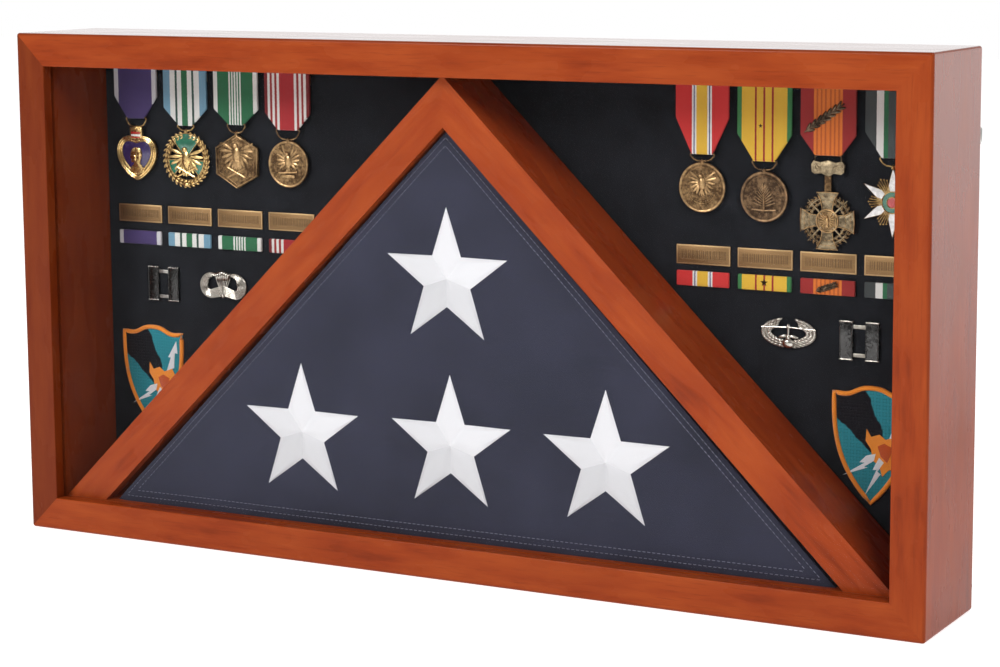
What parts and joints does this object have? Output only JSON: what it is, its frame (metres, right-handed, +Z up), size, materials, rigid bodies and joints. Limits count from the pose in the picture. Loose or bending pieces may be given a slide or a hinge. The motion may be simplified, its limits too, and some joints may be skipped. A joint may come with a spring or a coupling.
{
  "type": "folded flag display case",
  "caption": "Wide glazed wooden case with sloping dividers round a folded flag, and bays for medals, ribbon bars, badges and patches on a felt-covered removable back.",
  "frame": {"origin": "centre of the underside of the case boards, on the surface it stands on", "axes": "+X to the right as seen from the front, +Y from the glass towards the back, +Z up"},
  "size_m": [0.66, 0.0916, 0.346],
  "materials": {
    "cherry_wood": "satin lacquer",
    "clear_glass": "polished",
    "flag_cloth": "woven cotton",
    "zinc_steel": "zinc plated",
    "bumper_rubber": "matt",
    "black_felt": "felt",
    "fibre_board": "raw",
    "plywood": "raw",
    "engraved_brass": "satin",
    "pin_brass": "satin",
    "bronze_device": "antique",
    "dark_silver": "polished",
    "bright_silver": "polished",
    "patch_thread": "embroidered",
    "gilt": "gilt",
    "bronze": "antique bronze",
    "white_enamel": "gloss enamel",
    "violet_ribbon": "grosgrain",
    "blue_green_ribbon": "grosgrain",
    "green_ribbon": "grosgrain",
    "red_ribbon": "grosgrain",
    "coral_ribbon": "grosgrain",
    "yellow_ribbon": "grosgrain",
    "scarlet_ribbon": "grosgrain",
    "grey_green_ribbon": "grosgrain"
  },
  "bodies": {
    "case": {"top_board": "cherry_wood", "bottom_board": "cherry_wood", "left_board": "cherry_wood", "right_board": "cherry_wood", "glass_pane": "clear_glass", "left_divider": "cherry_wood", "right_divider": "cherry_wood", "folded_flag": "flag_cloth", "divider_screws": "zinc_steel", "turn_button_screws": "zinc_steel", "left_hanger_strap": "zinc_steel", "right_hanger_strap": "zinc_steel", "hanger_screws": "zinc_steel", "wall_bumpers": "bumper_rubber"},
    "back_panel": {"felt_liner": "black_felt", "pin_board": "fibre_board", "plywood_back": "plywood", "name_plates": "engraved_brass", "medal_brooches": "pin_brass", "ribbon_devices": "bronze_device", "left_double_bar_badge": "dark_silver", "right_double_bar_badge": "bright_silver", "left_wing_badge": "bright_silver", "right_wing_badge": "bright_silver", "left_shoulder_patch": "patch_thread", "right_shoulder_patch": "patch_thread", "heart_medal_ribbon": "violet_ribbon", "wreath_medal_ribbon": "blue_green_ribbon", "hexagon_medal_ribbon": "green_ribbon", "conduct_medal_ribbon": "red_ribbon", "service_medal_ribbon": "coral_ribbon", "campaign_medal_ribbon": "yellow_ribbon", "cross_medal_ribbon": "scarlet_ribbon", "star_medal_ribbon": "grey_green_ribbon", "heart_ribbon_bar": "violet_ribbon", "wreath_ribbon_bar": "blue_green_ribbon", "hexagon_ribbon_bar": "green_ribbon", "conduct_ribbon_bar": "red_ribbon", "service_ribbon_bar": "coral_ribbon", "campaign_ribbon_bar": "yellow_ribbon", "cross_ribbon_bar": "scarlet_ribbon", "star_ribbon_bar": "grey_green_ribbon"},
    "top_turn_button_1": {"top_turn_button_1": "zinc_steel"},
    "top_turn_button_2": {"top_turn_button_2": "zinc_steel"},
    "top_turn_button_3": {"top_turn_button_3": "zinc_steel"},
    "bottom_turn_button_1": {"bottom_turn_button_1": "zinc_steel"},
    "bottom_turn_button_2": {"bottom_turn_button_2": "zinc_steel"},
    "bottom_turn_button_3": {"bottom_turn_button_3": "zinc_steel"},
    "left_turn_button": {"left_turn_button": "zinc_steel"},
    "right_turn_button": {"right_turn_button": "zinc_steel"},
    "left_hanger_ring": {"left_hanger_ring": "zinc_steel"},
    "right_hanger_ring": {"right_hanger_ring": "zinc_steel"},
    "heart_pendant": {"heart_pendant": "gilt"},
    "wreath_pendant": {"wreath_pendant": "gilt"},
    "hexagon_pendant": {"hexagon_pendant": "bronze"},
    "conduct_pendant": {"conduct_pendant": "bronze"},
    "service_pendant": {"service_pendant": "bronze"},
    "campaign_pendant": {"campaign_pendant": "bronze"},
    "cross_pendant": {"cross_pendant": "bronze"},
    "star_pendant": {"star_pendant": "white_enamel"}
  },
  "joints": [
    {"name": "back_panel_lift_off", "type": "slide", "parent": "case", "child": "back_panel", "axis": [0, 1, 0], "range_m": [0, 0.15]},
    {"name": "top_turn_button_1_turn", "type": "hinge", "parent": "case", "child": "top_turn_button_1", "pos_m": [-0.2, 0.0442, 0.33975], "axis": [0, 1, 0], "range_deg": [0, 90]},
    {"name": "top_turn_button_2_turn", "type": "hinge", "parent": "case", "child": "top_turn_button_2", "pos_m": [0, 0.0442, 0.33975], "axis": [0, 1, 0], "range_deg": [0, 90]},
    {"name": "top_turn_button_3_turn", "type": "hinge", "parent": "case", "child": "top_turn_button_3", "pos_m": [0.2, 0.0442, 0.33975], "axis": [0, 1, 0], "range_deg": [0, 90]},
    {"name": "bottom_turn_button_1_turn", "type": "hinge", "parent": "case", "child": "bottom_turn_button_1", "pos_m": [-0.2, 0.0442, 0.00625], "axis": [0, -1, 0], "range_deg": [0, 90]},
    {"name": "bottom_turn_button_2_turn", "type": "hinge", "parent": "case", "child": "bottom_turn_button_2", "pos_m": [0, 0.0442, 0.00625], "axis": [0, -1, 0], "range_deg": [0, 90]},
    {"name": "bottom_turn_button_3_turn", "type": "hinge", "parent": "case", "child": "bottom_turn_button_3", "pos_m": [0.2, 0.0442, 0.00625], "axis": [0, -1, 0], "range_deg": [0, 90]},
    {"name": "left_turn_button_turn", "type": "hinge", "parent": "case", "child": "left_turn_button", "pos_m": [-0.32375, 0.0442, 0.173], "axis": [0, 1, 0], "range_deg": [0, 90]},
    {"name": "right_turn_button_turn", "type": "hinge", "parent": "case", "child": "right_turn_button", "pos_m": [0.32375, 0.0442, 0.173], "axis": [0, -1, 0], "range_deg": [0, 90]},
    {"name": "left_hanger_ring_swing", "type": "hinge", "parent": "case", "child": "left_hanger_ring", "pos_m": [-0.32375, 0.0458, 0.296], "axis": [1, 0, 0], "range_deg": [0, 170]},
    {"name": "right_hanger_ring_swing", "type": "hinge", "parent": "case", "child": "right_hanger_ring", "pos_m": [0.32375, 0.0458, 0.296], "axis": [1, 0, 0], "range_deg": [0, 170]},
    {"name": "heart_pendant_swing", "type": "hinge", "parent": "back_panel", "child": "heart_pendant", "pos_m": [-0.2784, 0.0207, 0.2852], "axis": [-1, 0, 0], "range_deg": [0, 75]},
    {"name": "wreath_pendant_swing", "type": "hinge", "parent": "back_panel", "child": "wreath_pendant", "pos_m": [-0.2361, 0.0207, 0.2814], "axis": [-1, 0, 0], "range_deg": [0, 75]},
    {"name": "hexagon_pendant_swing", "type": "hinge", "parent": "back_panel", "child": "hexagon_pendant", "pos_m": [-0.1938, 0.0207, 0.2834], "axis": [-1, 0, 0], "range_deg": [0, 75]},
    {"name": "conduct_pendant_swing", "type": "hinge", "parent": "back_panel", "child": "conduct_pendant", "pos_m": [-0.1515, 0.0207, 0.2812], "axis": [-1, 0, 0], "range_deg": [0, 75]},
    {"name": "service_pendant_swing", "type": "hinge", "parent": "back_panel", "child": "service_pendant", "pos_m": [0.157, 0.0207, 0.2768], "axis": [-1, 0, 0], "range_deg": [0, 75]},
    {"name": "campaign_pendant_swing", "type": "hinge", "parent": "back_panel", "child": "campaign_pendant", "pos_m": [0.199, 0.0207, 0.274], "axis": [-1, 0, 0], "range_deg": [0, 75]},
    {"name": "cross_pendant_swing", "type": "hinge", "parent": "back_panel", "child": "cross_pendant", "pos_m": [0.241, 0.0207, 0.2792], "axis": [-1, 0, 0], "range_deg": [0, 55]},
    {"name": "star_pendant_swing", "type": "hinge", "parent": "back_panel", "child": "star_pendant", "pos_m": [0.283, 0.0207, 0.2792], "axis": [-1, 0, 0], "range_deg": [0, 75]}
  ]
}
